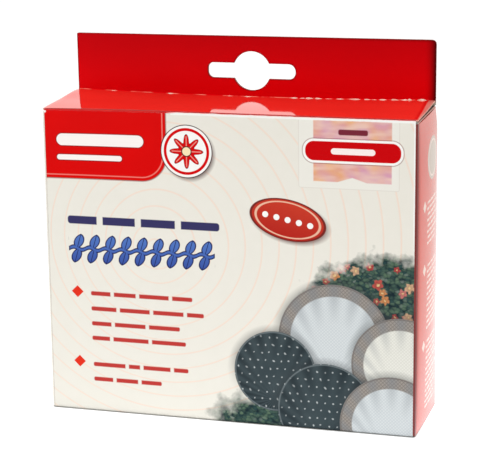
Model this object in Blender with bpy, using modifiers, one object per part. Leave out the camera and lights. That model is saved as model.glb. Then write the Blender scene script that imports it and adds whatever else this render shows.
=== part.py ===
"""Hanging carton: a folded board carton with a two-ply header and a hanging slot.

Metres, +Z up. The origin is the middle of the bottom face, the front faces -Y and +X is to its right.
The lid is hinged on the front panel's top crease, and two dust flaps are hinged on the side panels.
"""

import math

import bmesh
import bpy
from mathutils import Vector

# Driving dimensions of the carton
WIDTH = 0.1320
DEPTH = 0.0360
HEIGHT = 0.1102  # from the floor to the top of the lid
HEADER_HEIGHT = 0.0217  # from the top of the lid to the header's top edge
BOARD = 0.0005  # thickness of the folding boxboard
GAP = 0.0003  # between pieces that touch
CREASE_RADIUS = 0.0007  # outside of a folded edge

# Header: it is cut a little wider than the flat of the back panel between its creases
HEADER_SIDE_INSET = 0.0002
SHOULDER_HEIGHT = 0.0006
HEADER_LEFT_RADIUS = 0.0004
HEADER_RIGHT_RADIUS = 0.0015

# Hanging slot: a bar with a round eye in its middle
SLOT_LENGTH = 0.0323
SLOT_HEIGHT = 0.0055
SLOT_LEFT_RADIUS = 0.0021
SLOT_RIGHT_RADIUS = 0.0026
EYE_RADIUS = 0.0070
SLOT_ABOVE_LID = 0.00915  # from the lid to the slot's middle line
CUTTER_DEPTH = 0.0100

# Dust flaps, seen from above
FLAP_LENGTH = 0.0260  # how far each reaches in from its side panel
FLAP_TAPER_RUN = 0.0150  # along the side panel, from the front corner to where the taper ends
FLAP_BACK_CLEARANCE = 0.0004
FLAP_CORNER_RADIUS = 0.0030
LID_CORNER_RADIUS = 0.0003

# Worked out from the above
FRONT_FACE = -DEPTH / 2
BACK_FACE = DEPTH / 2
LID_UNDERSIDE = HEIGHT - BOARD
WALL_TOP = LID_UNDERSIDE - GAP
HEADER_TOP = HEIGHT + HEADER_HEIGHT
HEADER_HALF_WIDTH = WIDTH / 2 - HEADER_SIDE_INSET
FRONT_PLY_MIDDLE = BACK_FACE - BOARD - GAP - BOARD / 2
FRONT_PLY_FACE = FRONT_PLY_MIDDLE - BOARD / 2
SLOT_MIDDLE = HEIGHT + SLOT_ABOVE_LID

CREASE_STEPS = 3
CORNER_STEPS = 6
EYE_STEPS = 20
QUARTER = math.pi / 2
WELD = 1e-6
ON_PLANE = 1e-7

# Name: linear colour, roughness
MATERIALS = {
    "printed_board": ((0.83, 0.82, 0.78), 0.30),
    "header_red": ((0.56, 0.004, 0.006), 0.30),
    "lid_red": ((0.66, 0.010, 0.010), 0.25),
    "uncoated_board": ((0.62, 0.58, 0.51), 0.75),
}


def clear_scene():
    for old in list(bpy.data.objects):
        bpy.data.objects.remove(old, do_unlink=True)


def new_collection(name):
    collection = bpy.data.collections.new(name)
    bpy.context.scene.collection.children.link(collection)
    return collection


def make_material(owner, kind):
    colour, roughness = MATERIALS[kind]
    material = bpy.data.materials.new(owner + "_" + kind)
    material.use_nodes = True
    shader = material.node_tree.nodes["Principled BSDF"]
    shader.inputs["Base Color"].default_value = (*colour, 1.0)
    shader.inputs["Roughness"].default_value = roughness
    shader.inputs["Metallic"].default_value = 0.0
    return material


def add_piece(name, mesh, collection, kind):
    piece = bpy.data.objects.new(name, mesh)
    piece.data.materials.append(make_material(name, kind))
    collection.objects.link(piece)
    return piece


def arc(centre, radius, start, end, steps=CORNER_STEPS):
    """Points along an arc from one angle to another."""
    angles = [start + (end - start) * i / steps for i in range(steps + 1)]
    return [(centre[0] + radius * math.cos(a), centre[1] + radius * math.sin(a)) for a in angles]


def rounded_outline(corners):
    """An outline through corners given as (x, y, radius), each rounded to its radius."""
    points = []
    for i, (x, y, radius) in enumerate(corners):
        here = Vector((x, y))
        before = (Vector(corners[i - 1][:2]) - here).normalized()
        after = (Vector(corners[(i + 1) % len(corners)][:2]) - here).normalized()
        half_angle = before.angle(after) / 2
        centre = here + (before + after).normalized() * radius / math.sin(half_angle)
        first = here + before * radius / math.tan(half_angle) - centre
        last = here + after * radius / math.tan(half_angle) - centre
        start = math.atan2(first.y, first.x)
        turn = math.atan2(first.cross(last), first.dot(last))
        points += arc(centre, radius, start, start + turn)
    return points


def plate_mesh(name, outline, thickness=BOARD, middle=0.0):
    """A closed flat plate: its outline lies in XY, and middle is the height of its middle layer."""
    curve = bpy.data.curves.new(name + "_outline", "CURVE")
    curve.dimensions = "2D"
    curve.fill_mode = "BOTH"
    curve.extrude = thickness / 2
    spline = curve.splines.new("POLY")
    spline.points.add(len(outline) - 1)
    for point, (x, y) in zip(spline.points, outline):
        point.co = (x, y, 0.0, 1.0)
    spline.use_cyclic_u = True
    guide = bpy.data.objects.new(name + "_outline", curve)
    bpy.context.scene.collection.objects.link(guide)
    graph = bpy.context.evaluated_depsgraph_get()
    mesh = bpy.data.meshes.new_from_object(guide.evaluated_get(graph))
    bpy.data.objects.remove(guide, do_unlink=True)
    bpy.data.curves.remove(curve)
    cage = bmesh.new()
    cage.from_mesh(mesh)
    bmesh.ops.remove_doubles(cage, verts=cage.verts, dist=WELD)
    bmesh.ops.translate(cage, vec=(0.0, 0.0, middle), verts=cage.verts)
    bmesh.ops.recalc_face_normals(cage, faces=cage.faces)
    cage.to_mesh(mesh)
    cage.free()
    mesh.name = name
    return mesh


def stand_up(plate, y_middle):
    """Turns a plate upright, facing the front, so that its outline's second coordinate is its height."""
    plate.rotation_euler = (QUARTER, 0.0, 0.0)
    plate.location = (0.0, y_middle, 0.0)


def slot_outline():
    """The hanging slot as seen from the front: a round-ended bar through a round eye."""
    half_height = SLOT_HEIGHT / 2
    join = math.asin(half_height / EYE_RADIUS)
    eye = (0.0, SLOT_MIDDLE)
    left_x = -SLOT_LENGTH / 2 + SLOT_LEFT_RADIUS
    left_rise = half_height - SLOT_LEFT_RADIUS
    right_x = SLOT_LENGTH / 2 - SLOT_RIGHT_RADIUS
    right_rise = half_height - SLOT_RIGHT_RADIUS
    points = arc(eye, EYE_RADIUS, join, 2 * QUARTER - join, EYE_STEPS)
    points += arc((left_x, SLOT_MIDDLE + left_rise), SLOT_LEFT_RADIUS, QUARTER, 2 * QUARTER)
    points += arc((left_x, SLOT_MIDDLE - left_rise), SLOT_LEFT_RADIUS, 2 * QUARTER, 3 * QUARTER)
    points += arc(eye, EYE_RADIUS, 2 * QUARTER + join, 4 * QUARTER - join, EYE_STEPS)
    points += arc((right_x, SLOT_MIDDLE - right_rise), SLOT_RIGHT_RADIUS, 3 * QUARTER, 4 * QUARTER)
    points += arc((right_x, SLOT_MIDDLE + right_rise), SLOT_RIGHT_RADIUS, 0.0, QUARTER)
    return points


def make_slot_cutter(collection):
    mesh = plate_mesh("slot_cutter", slot_outline(), CUTTER_DEPTH)
    cutter = bpy.data.objects.new("slot_cutter", mesh)
    stand_up(cutter, BACK_FACE - BOARD)
    cutter.hide_render = True
    cutter.display_type = "WIRE"
    collection.objects.link(cutter)
    return cutter


def cut_slot(piece, cutter):
    cut = piece.modifiers.new("hanging_slot", "BOOLEAN")
    cut.operation = "DIFFERENCE"
    cut.solver = "EXACT"
    cut.object = cutter


def grow_header(cage):
    """Carries the back panel up past the lid: a shoulder, then the header's back ply."""
    top_edges = []
    for edge in cage.edges:
        ends = [vert.co for vert in edge.verts]
        at_back = all(abs(end.y - BACK_FACE) < ON_PLANE for end in ends)
        at_top = all(abs(end.z - WALL_TOP) < ON_PLANE for end in ends)
        if at_back and at_top:
            top_edges.append(edge)
    for level in (WALL_TOP + SHOULDER_HEIGHT, HEADER_TOP):
        grown = bmesh.ops.extrude_edge_only(cage, edges=top_edges)["geom"]
        top_edges = [item for item in grown if isinstance(item, bmesh.types.BMEdge)]
        for vert in (item for item in grown if isinstance(item, bmesh.types.BMVert)):
            vert.co.x = math.copysign(HEADER_HALF_WIDTH, vert.co.x)
            vert.co.z = level
    ends = sorted({vert for edge in top_edges for vert in edge.verts}, key=lambda vert: vert.co.x)
    for corner, radius in zip(ends, (HEADER_LEFT_RADIUS, HEADER_RIGHT_RADIUS)):
        bmesh.ops.bevel(
            cage, geom=[corner], offset=radius, segments=CORNER_STEPS, profile=0.5, affect="VERTICES"
        )


def make_body(collection, cutter):
    """The glued tube, its closed bottom and the header's back ply, folded from one board."""
    cage = bmesh.new()
    bmesh.ops.create_cube(cage, size=1.0)
    bmesh.ops.scale(cage, vec=(WIDTH, DEPTH, WALL_TOP), verts=cage.verts)
    bmesh.ops.translate(cage, vec=(0.0, 0.0, WALL_TOP / 2), verts=cage.verts)
    mouth = [face for face in cage.faces if face.normal.z > 0.5]
    bmesh.ops.delete(cage, geom=mouth, context="FACES_ONLY")
    creases = [edge for edge in cage.edges if not edge.is_boundary]
    bmesh.ops.bevel(
        cage, geom=creases, offset=CREASE_RADIUS, segments=CREASE_STEPS, profile=0.5, affect="EDGES"
    )
    grow_header(cage)
    bmesh.ops.recalc_face_normals(cage, faces=cage.faces)
    mesh = bpy.data.meshes.new("carton_body")
    cage.to_mesh(mesh)
    cage.free()
    body = add_piece("carton_body", mesh, collection, "printed_board")
    board = body.modifiers.new("board", "SOLIDIFY")
    board.thickness = BOARD
    board.offset = -1.0
    board.use_even_offset = True
    cut_slot(body, cutter)


def make_front_ply(collection, cutter):
    """The header's front ply: the lid's end, glued up against the back ply."""
    corners = [
        (-HEADER_HALF_WIDTH, LID_UNDERSIDE, LID_CORNER_RADIUS),
        (HEADER_HALF_WIDTH, LID_UNDERSIDE, LID_CORNER_RADIUS),
        (HEADER_HALF_WIDTH, HEADER_TOP, HEADER_RIGHT_RADIUS),
        (-HEADER_HALF_WIDTH, HEADER_TOP, HEADER_LEFT_RADIUS),
    ]
    mesh = plate_mesh("header_front_ply", rounded_outline(corners))
    ply = add_piece("header_front_ply", mesh, collection, "header_red")
    stand_up(ply, FRONT_PLY_MIDDLE)
    cut_slot(ply, cutter)


def make_lid(collection):
    """The top panel. Its origin is on its hinge, the front panel's top crease."""
    half_width = WIDTH / 2
    reach = FRONT_PLY_FACE - GAP - FRONT_FACE
    corners = [
        (-half_width, 0.0, LID_CORNER_RADIUS),
        (half_width, 0.0, LID_CORNER_RADIUS),
        (half_width, reach, LID_CORNER_RADIUS),
        (-half_width, reach, LID_CORNER_RADIUS),
    ]
    mesh = plate_mesh("lid_panel", rounded_outline(corners), middle=BOARD / 2)
    lid = add_piece("lid_panel", mesh, collection, "lid_red")
    lid.location = (0.0, FRONT_FACE, LID_UNDERSIDE)


def make_dust_flap(collection, name, inward):
    """A tapered flap under the lid, with its origin on its hinge. inward is its direction along X."""
    front = FRONT_FACE + BOARD + GAP
    back = FRONT_PLY_FACE - FLAP_BACK_CLEARANCE
    tip = inward * FLAP_LENGTH
    corners = [
        (0.0, front, LID_CORNER_RADIUS),
        (tip, front + FLAP_TAPER_RUN, FLAP_CORNER_RADIUS),
        (tip, back, FLAP_CORNER_RADIUS),
        (0.0, back, LID_CORNER_RADIUS),
    ]
    mesh = plate_mesh(name, rounded_outline(corners), middle=-BOARD / 2)
    flap = add_piece(name, mesh, collection, "uncoated_board")
    flap.location = (-inward * (WIDTH / 2 - BOARD - GAP), 0.0, WALL_TOP)


def main():
    clear_scene()
    carton = new_collection("hanging_carton")
    cutters = new_collection("cutters")
    slot_cutter = make_slot_cutter(cutters)
    make_body(carton, slot_cutter)
    make_front_ply(carton, slot_cutter)
    make_lid(carton)
    make_dust_flap(carton, "dust_flap_left", 1)
    make_dust_flap(carton, "dust_flap_right", -1)


main()
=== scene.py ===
"""The looks of the hanging carton: printed board panels, creases, cut edges and torn perforation.

Everything is in metres in the frame's axes: +X to the right, -Y out of the front, +Z up.
The print is drawn by nodes in millimetres on each panel's own unfolded coordinates.
"""

import math
import random

import bmesh
import bpy
from mathutils import Matrix, Vector


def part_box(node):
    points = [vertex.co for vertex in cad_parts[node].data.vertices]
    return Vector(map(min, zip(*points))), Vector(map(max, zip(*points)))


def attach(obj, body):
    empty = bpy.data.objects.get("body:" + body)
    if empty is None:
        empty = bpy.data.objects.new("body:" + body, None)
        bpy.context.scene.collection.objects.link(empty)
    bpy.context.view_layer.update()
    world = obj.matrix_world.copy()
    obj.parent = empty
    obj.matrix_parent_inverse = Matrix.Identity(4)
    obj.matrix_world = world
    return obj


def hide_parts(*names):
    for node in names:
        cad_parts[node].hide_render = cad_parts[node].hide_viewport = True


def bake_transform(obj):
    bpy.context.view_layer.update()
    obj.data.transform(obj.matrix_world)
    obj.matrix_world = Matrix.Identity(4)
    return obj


MM = 0.001
QUARTER = math.pi / 2

# Sizes of the board and its folds, as in the part
BOARD = 0.5 * MM
CREASE = 0.7 * MM
HEADER_LEFT_RADIUS = 0.4 * MM
HEADER_RIGHT_RADIUS = 1.5 * MM
SLOT_LENGTH = 32.3 * MM
SLOT_HEIGHT = 5.5 * MM
SLOT_LEFT_RADIUS = 2.1 * MM
SLOT_RIGHT_RADIUS = 2.6 * MM
EYE_RADIUS = 7.0 * MM
SLOT_ABOVE_LID = 9.15 * MM

# Camera, solved from the photograph's corners
VIEW_AZIMUTH = 16.03
VIEW_ELEVATION = 13.85
VIEW_ROLL = -0.75
VIEW_DISTANCE = 609.7 * MM
VIEW_TARGET = (3.5 * MM, 0.0, 64.9 * MM)
FOCAL_PIXELS = 1727.7
PHOTO_WIDTH = 500
SENSOR_MM = 36.0

# Light
FRONT_WORLD = 0.58
BACK_WORLD = 1.15
SUN_STRENGTH = 1.2
SUN_AZIMUTH = 20.0
SUN_ELEVATION = 72.0
SUN_ANGLE = 30.0
FILL_POWER = 0.25
FILL_SIZE = 0.30
FILL_PLACE = (-0.28, -0.42, 0.03)
FILL_AIM = (-0.02, -0.018, 0.03)
FLOOR_GLOW_NEAR = 1.15
FLOOR_GLOW_FAR = 0.52
FLOOR_GLOW_REACH = 0.28
# How far the painted contact shadow round the carton's foot reaches.
CONTACT_SHADOW_REACH = 0.0013
BACKDROP_TINT = (1.0, 0.975, 0.935, 1.0)

# The floor to the right of the picture glows dimmer and warmer, painted light standing for a duller,
# warmer card, which the side panel mirrors
CARD_START = 0.0890
CARD_SLANT = -0.137
CARD_REACH = 0.06
CARD_GLOW_NEAR = 0.85
CARD_GLOW_FAR = 0.42
CARD_GLOW_REACH = 0.45
CARD_TINT = (1.0, 0.93, 0.85)


# The frame

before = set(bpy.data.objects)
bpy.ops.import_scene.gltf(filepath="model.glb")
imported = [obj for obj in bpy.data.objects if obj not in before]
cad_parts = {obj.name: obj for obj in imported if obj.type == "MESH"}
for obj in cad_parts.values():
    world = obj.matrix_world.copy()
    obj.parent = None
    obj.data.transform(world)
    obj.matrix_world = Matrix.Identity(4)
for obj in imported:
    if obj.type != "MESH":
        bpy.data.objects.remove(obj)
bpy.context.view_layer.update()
body_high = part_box("carton_body")[1]
lid_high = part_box("lid_panel")[1]
ply_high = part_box("header_front_ply")[1]

HALF_WIDTH = body_high.x
HALF_DEPTH = body_high.y
LID_TOP = lid_high.z
HEADER_TOP = ply_high.z
WALL_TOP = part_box("dust_flap_left")[1].z
WIDTH_MM = 2 * HALF_WIDTH / MM
DEPTH_MM = 2 * HALF_DEPTH / MM
HEIGHT_MM = LID_TOP / MM
HEADER_MM = (HEADER_TOP - LID_TOP) / MM


# Camera, light and floor


def add_object(name, data):
    made = bpy.data.objects.new(name, data)
    bpy.context.scene.collection.objects.link(made)
    return made


def mesh_from(name, cage):
    """A mesh of this name from a bmesh cage, which is freed."""
    mesh = bpy.data.meshes.new(name)
    cage.to_mesh(mesh)
    cage.free()
    return mesh


def make_camera():
    azimuth, elevation, roll = (math.radians(a) for a in (VIEW_AZIMUTH, VIEW_ELEVATION, VIEW_ROLL))
    back = Vector(
        (
            math.sin(azimuth) * math.cos(elevation),
            -math.cos(azimuth) * math.cos(elevation),
            math.sin(elevation),
        )
    )
    level_right = (-back).cross(Vector((0.0, 0.0, 1.0))).normalized()
    level_up = level_right.cross(-back)
    right = math.cos(roll) * level_right + math.sin(roll) * level_up
    up = math.cos(roll) * level_up - math.sin(roll) * level_right
    data = bpy.data.cameras.new("photo_camera")
    data.sensor_width = SENSOR_MM
    data.lens = FOCAL_PIXELS * SENSOR_MM / PHOTO_WIDTH
    data.clip_start = 0.01
    data.clip_end = 50.0
    camera = add_object("photo_camera", data)
    turned = Matrix((right, up, back)).transposed().to_4x4()
    camera.matrix_world = Matrix.Translation(Vector(VIEW_TARGET) + back * VIEW_DISTANCE) @ turned
    bpy.context.scene.camera = camera


def make_world():
    """Even white all round, brighter low down behind the carton, where a lit backdrop stands."""
    world = bpy.data.worlds.new("studio")
    world.use_nodes = True
    tree = world.node_tree
    background = tree.nodes["Background"]
    place = tree.nodes.new("ShaderNodeTexCoord")
    parts = tree.nodes.new("ShaderNodeSeparateXYZ")
    tree.links.new(place.outputs["Generated"], parts.inputs[0])
    ramp = tree.nodes.new("ShaderNodeMapRange")
    ramp.interpolation_type = "SMOOTHSTEP"
    ramp.inputs["From Min"].default_value = -0.2
    ramp.inputs["From Max"].default_value = 0.6
    ramp.inputs["To Min"].default_value = FRONT_WORLD
    ramp.inputs["To Max"].default_value = BACK_WORLD
    tree.links.new(parts.outputs["Y"], ramp.inputs["Value"])
    background.inputs["Color"].default_value = BACKDROP_TINT
    tree.links.new(ramp.outputs["Result"], background.inputs["Strength"])
    bpy.context.scene.world = world


def make_sun(name, strength, azimuth, elevation, angle):
    data = bpy.data.lights.new(name, "SUN")
    data.energy = strength
    data.angle = math.radians(angle)
    sun = add_object(name, data)
    a, e = math.radians(azimuth), math.radians(elevation)
    towards = Vector((math.sin(a) * math.cos(e), -math.cos(a) * math.cos(e), math.sin(e)))
    sun.rotation_mode = "QUATERNION"
    sun.rotation_quaternion = towards.to_track_quat("Z", "Y")


def make_fill(place, aim, size, power):
    """A soft lamp low on the left, which brightens the lower left of the front."""
    data = bpy.data.lights.new("fill", "AREA")
    data.shape = "DISK"
    data.size = size
    data.energy = power
    lamp = add_object("fill", data)
    lamp.location = place
    lamp.rotation_mode = "QUATERNION"
    lamp.rotation_quaternion = (Vector(place) - Vector(aim)).to_track_quat("Z", "Y")


def make_floor(size):
    cage = bmesh.new()
    bmesh.ops.create_grid(cage, x_segments=1, y_segments=1, size=size)
    mesh = mesh_from("floor", cage)
    floor = add_object("floor", mesh)
    floor.location.z = -0.02 * MM
    ink = Ink("glowing_floor_paper")
    ink.finish(colour=(0.5, 0.5, 0.5), roughness=0.9, shine=0.0)
    x, y, _ = ink.object_place()
    # The floor glows, brightest next to the carton and fading with distance: a painted pool of light.
    far = ink.share(ink.length(x, y), FLOOR_GLOW_REACH)
    glow = far * (FLOOR_GLOW_FAR - FLOOR_GLOW_NEAR) + FLOOR_GLOW_NEAR
    from_carton = ink.slab(x, y, HALF_WIDTH, HALF_DEPTH, CREASE)
    past_view = x - y * CARD_SLANT - CARD_START
    card = ink.share(past_view, CARD_REACH)
    card_far = ink.share(ink.length(x, y), CARD_GLOW_REACH)
    card_glow = card_far * (CARD_GLOW_FAR - CARD_GLOW_NEAR) + CARD_GLOW_NEAR
    glow = glow + card * (card_glow - glow)
    # The glow fades out at the carton's foot: a painted contact shadow.
    glow = glow * ink.share(from_carton, CONTACT_SHADOW_REACH)
    tint = ink.mix((1.0, 1.0, 1.0), CARD_TINT, card)
    ink.plug(ink.shader.inputs["Emission Color"], tint)
    ink.plug(ink.shader.inputs["Emission Strength"], glow)
    mesh.materials.append(ink.material)


# Drawing with nodes


class Field:
    """A number that varies over a surface, worked out by nodes. The usual operators make new fields."""

    def __init__(self, ink, socket):
        self.ink = ink
        self.socket = socket

    def __add__(self, other):
        return self.ink.math("ADD", self, other)

    def __sub__(self, other):
        return self.ink.math("SUBTRACT", self, other)

    def __rsub__(self, other):
        return self.ink.math("SUBTRACT", other, self)

    def __mul__(self, other):
        return self.ink.math("MULTIPLY", self, other)

    def __truediv__(self, other):
        return self.ink.math("DIVIDE", self, other)

    def __abs__(self):
        return self.ink.math("ABSOLUTE", self)

    def __mod__(self, other):
        return self.ink.math("FLOORED_MODULO", self, other)


class Ink:
    """Builds one material: fields, shapes and colours in millimetres, then a varnished or raw surface."""

    def __init__(self, name):
        self.material = bpy.data.materials.new(name)
        self.material.use_nodes = True
        self.tree = self.material.node_tree
        self.shader = self.tree.nodes["Principled BSDF"]
        self.u = None
        self.v = None

    def node(self, kind, **settings):
        made = self.tree.nodes.new(kind)
        for key, value in settings.items():
            setattr(made, key, value)
        return made

    def plug(self, socket, value):
        if isinstance(value, Field):
            self.tree.links.new(value.socket, socket)
        elif isinstance(value, bpy.types.NodeSocket):
            self.tree.links.new(value, socket)
        elif isinstance(value, tuple) and len(value) == 3 and socket.type == "RGBA":
            socket.default_value = (*value, 1.0)
        else:
            socket.default_value = value

    def math(self, operation, *values, clamp=False):
        made = self.node("ShaderNodeMath", operation=operation, use_clamp=clamp)
        for socket, value in zip(made.inputs, values):
            self.plug(socket, value)
        return Field(self, made.outputs[0])

    def print_coordinates(self):
        """The panel's unfolded coordinates in millimetres: u from its left edge, v from its bottom."""
        place = self.node("ShaderNodeUVMap", uv_map="print")
        parts = self.node("ShaderNodeSeparateXYZ")
        self.tree.links.new(place.outputs[0], parts.inputs[0])
        self.u = Field(self, parts.outputs[0])
        self.v = Field(self, parts.outputs[1])
        return self.u, self.v

    def object_place(self):
        """The object's own coordinates, in metres."""
        place = self.node("ShaderNodeTexCoord")
        parts = self.node("ShaderNodeSeparateXYZ")
        self.tree.links.new(place.outputs["Object"], parts.inputs[0])
        return [Field(self, socket) for socket in parts.outputs]

    def point(self, x, y, z=0.0):
        made = self.node("ShaderNodeCombineXYZ")
        for socket, value in zip(made.inputs, (x, y, z)):
            self.plug(socket, value)
        return made.outputs[0]

    def noise(self, scale, detail=2.0, x=None, y=None, z=0.0):
        """Smooth noise from 0 to 1, about 0.5 in the middle. scale is in waves to a millimetre."""
        made = self.node("ShaderNodeTexNoise", noise_dimensions="3D")
        where = self.point(self.u if x is None else x, self.v if y is None else y, z)
        self.tree.links.new(where, made.inputs["Vector"])
        made.inputs["Scale"].default_value = scale
        made.inputs["Detail"].default_value = detail
        return Field(self, made.outputs[0])

    def mix(self, under, over, amount):
        """The under colour where amount is 0, and the over colour where it is 1."""
        made = self.node("ShaderNodeMix", data_type="RGBA")
        self.plug(made.inputs[0], amount)
        self.plug(made.inputs[6], under)
        self.plug(made.inputs[7], over)
        return made.outputs[2]

    def cover(self, distance, soft=0.12):
        """1 inside a shape and 0 outside, from its signed distance, with an edge this soft."""
        return self.math("MULTIPLY_ADD", distance, -1.0 / soft, 0.5, clamp=True)

    def paint(self, under, over, distance, soft=0.12):
        """Lays the over colour inside a shape."""
        return self.mix(under, over, self.cover(distance, soft))

    def ramp(self, value, slope, start):
        """slope * value + start, held between 0 and 1."""
        return self.math("MULTIPLY_ADD", value, slope, start, clamp=True)

    def share(self, value, whole):
        """value as a part of whole, held between 0 and 1."""
        return self.math("DIVIDE", value, whole, clamp=True)

    def least(self, a, b):
        return self.math("MINIMUM", a, b)

    def most(self, a, b):
        return self.math("MAXIMUM", a, b)

    def length(self, x, y):
        return self.math("SQRT", x * x + y * y)

    def turned(self, x, y, centre, degrees):
        """Coordinates about a centre, turned anticlockwise."""
        c, s = math.cos(math.radians(degrees)), math.sin(math.radians(degrees))
        dx, dy = x - centre[0], y - centre[1]
        return dx * c + dy * s, dy * c - dx * s

    def disc(self, centre, radius):
        return self.length(self.u - centre[0], self.v - centre[1]) - radius

    def ellipse(self, x, y, half_width, half_height):
        return (self.length(x / half_width, y / half_height) - 1.0) * min(half_width, half_height)

    def slab(self, x, y, half_width, half_height, radius):
        """A rectangle about the origin of x and y, with round corners."""
        qx = abs(x) - (half_width - radius)
        qy = abs(y) - (half_height - radius)
        outside = self.length(self.most(qx, 0.0), self.most(qy, 0.0))
        inside = self.least(self.most(qx, qy), 0.0)
        return outside + inside - radius

    def bar(self, left, right, middle, height, radius=None):
        half = height / 2
        x, y = self.u - (left + right) / 2, self.v - middle
        return self.slab(x, y, (right - left) / 2, half, half if radius is None else radius)

    def rhombus(self, centre, half_width, half_height):
        across = abs(self.u - centre[0]) / half_width + abs(self.v - centre[1]) / half_height
        return (across - 1.0) * (half_width * half_height / math.hypot(half_width, half_height))

    def bump(self, height, strength, distance):
        made = self.node("ShaderNodeBump")
        made.inputs["Strength"].default_value = strength
        made.inputs["Distance"].default_value = distance
        self.plug(made.inputs["Height"], height)
        self.tree.links.new(made.outputs[0], self.shader.inputs["Normal"])

    def finish(self, colour, roughness, ior=1.45, shine=0.5):
        self.plug(self.shader.inputs["Base Color"], colour)
        self.plug(self.shader.inputs["Roughness"], roughness)
        self.shader.inputs["IOR"].default_value = ior
        self.shader.inputs["Specular IOR Level"].default_value = shine
        return self.material


def srgb(red, green, blue):
    """A linear colour from one given as 0 to 255."""
    return tuple(
        c / 12.92 if c <= 0.04045 else ((c + 0.055) / 1.055) ** 2.4
        for c in (red / 255, green / 255, blue / 255)
    )


# Making the board pieces


def smooth(low, high, value):
    """0 below low, 1 above high and an S curve between."""
    t = min(max((value - low) / (high - low), 0.0), 1.0)
    return t * t * (3.0 - 2.0 * t)


def spread(start, end, count):
    return [start + (end - start) * i / count for i in range(count + 1)]


def crowded(start, end, count):
    """Values from start to end that lie closer together near both ends."""
    middle, reach = (start + end) / 2, (end - start) / 2
    return [middle - reach * math.cos(math.pi * i / count) for i in range(count + 1)]


class Board:
    """A surface laid out from patches, welded, then given the board's thickness on its inner side."""

    def __init__(self, name):
        self.name = name
        self.points = []
        self.faces = []
        self.marks = []
        self.kinds = []

    def patch(self, place, across, up, kind=0):
        """place(a, b) gives a point and its print coordinates. Faces look along across x up."""
        first = len(self.points)
        marks = []
        for b in up:
            for a in across:
                point, mark = place(a, b)
                self.points.append(out_of_square(point))
                marks.append(mark)
        wide = len(across)
        for row in range(len(up) - 1):
            for column in range(wide - 1):
                low = row * wide + column
                corners = (low, low + 1, low + 1 + wide, low + wide)
                self.faces.append([first + corner for corner in corners])
                self.marks.append([marks[corner] for corner in corners])
                self.kinds.append(kind)

    def piece(self, materials, body, thickness=BOARD, kinds=1, cutter=None, sharp=35.0):
        """materials are the printed ones, then the raw inside and the cut edge."""
        mesh = bpy.data.meshes.new(self.name)
        mesh.from_pydata(self.points, [], self.faces)
        layer = mesh.uv_layers.new(name="print")
        corner = 0
        for marks in self.marks:
            for mark in marks:
                layer.data[corner].uv = (mark[0] / MM, mark[1] / MM)
                corner += 1
        for polygon, kind in zip(mesh.polygons, self.kinds):
            polygon.material_index = kind
        printed, raw, cuts = materials[:kinds], materials[kinds], materials[kinds + 1 :]
        cuts = cuts if len(cuts) == kinds else cuts * kinds
        for material in printed + [raw] * kinds + cuts:
            mesh.materials.append(material)
        cage = bmesh.new()
        cage.from_mesh(mesh)
        bmesh.ops.remove_doubles(cage, verts=cage.verts, dist=1e-6)
        cage.to_mesh(mesh)
        cage.free()
        made = add_object(self.name, mesh)
        shell = made.modifiers.new("board", "SOLIDIFY")
        shell.thickness = thickness
        shell.offset = -1.0
        shell.use_even_offset = True
        shell.material_offset = kinds
        shell.material_offset_rim = 2 * kinds
        if cutter:
            hole = made.modifiers.new("hanging_slot", "BOOLEAN")
            hole.operation = "DIFFERENCE"
            hole.solver = "EXACT"
            hole.object = cutter
        settle(made, sharp)
        if body:
            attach(made, body)
        return made


def settle(made, sharp):
    """Turns a piece's modifiers into mesh, with its round stretches smooth and its cut edges sharp."""
    graph = bpy.context.evaluated_depsgraph_get()
    mesh = bpy.data.meshes.new_from_object(made.evaluated_get(graph))
    made.modifiers.clear()
    made.data = mesh
    mesh.name = made.name
    mesh.shade_smooth()
    mesh.set_sharp_from_angle(angle=math.radians(sharp))


# The shapes of the panels

SAG = 0.06 * MM
LID_CROWN = 0.24 * MM
BACK_RAISE = 0.85 * MM
LID_ROLL = 0.14 * MM
LID_ROLL_WIDTH = 1.9 * MM
SIDE_BULGE = 1.0 * MM
SIDE_ROLL = 0.34 * MM
SIDE_ROLL_WIDTH = 1.0 * MM
CORNER_DROOP = 0.65 * MM
FOOT_SPREAD = 0.60 * MM
RIGHT_SPREAD = 0.35 * MM
BACK_SPREAD = 0.65 * MM
BACK_FOOT_SPREAD = 0.55 * MM
FRONT_BULGE = 0.25 * MM
SIDE_TOP = 108.7 * MM
FRONT_TOP = LID_TOP - CREASE
FOOT = 0.15 * MM
FIRST_ROW = 3 * MM
BOTTOM_INSET = 0.1 * MM
NECK = 0.6 * MM
LID_REACH = lid_high.y

# Name: centre of the face, direction along it to the right, direction out of it, half width, bulge
PANELS = {
    "front": ((0.0, -HALF_DEPTH), (1.0, 0.0), (0.0, -1.0), HALF_WIDTH, FRONT_BULGE),
    "right": ((HALF_WIDTH, 0.0), (0.0, 1.0), (1.0, 0.0), HALF_DEPTH, SIDE_BULGE),
    "back": ((0.0, HALF_DEPTH), (-1.0, 0.0), (0.0, 1.0), HALF_WIDTH, 0.0),
    "left": ((-HALF_WIDTH, 0.0), (0.0, -1.0), (-1.0, 0.0), HALF_DEPTH, SIDE_BULGE),
}


def sag(x):
    """How far the middle of the lid and of the front panel's top edge hang below their ends."""
    return SAG * (1.0 - (x / HALF_WIDTH) ** 2)


def out_of_square(point):
    """The carton's real unevenness: its front left corner droops and its feet stand out."""
    left = max(-point.x / HALF_WIDTH, 0.0)
    right = max(point.x / HALF_WIDTH, 0.0)
    front = min(max(0.5 - point.y / (2 * HALF_DEPTH), 0.0), 1.0)
    tall = min(point.z / LID_TOP, 1.0)
    droop = CORNER_DROOP * left**3 * front**2 * smooth(0.5, 1.0, tall)
    back_spread = (BACK_SPREAD + BACK_FOOT_SPREAD * (1.0 - tall)) * smooth(0.0, 0.08, 1.0 - tall)
    outward = (RIGHT_SPREAD * front + back_spread * (1.0 - front)) * right**2
    return point + Vector((outward - FOOT_SPREAD * left**2 * (1.0 - tall), 0.0, -droop))


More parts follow.
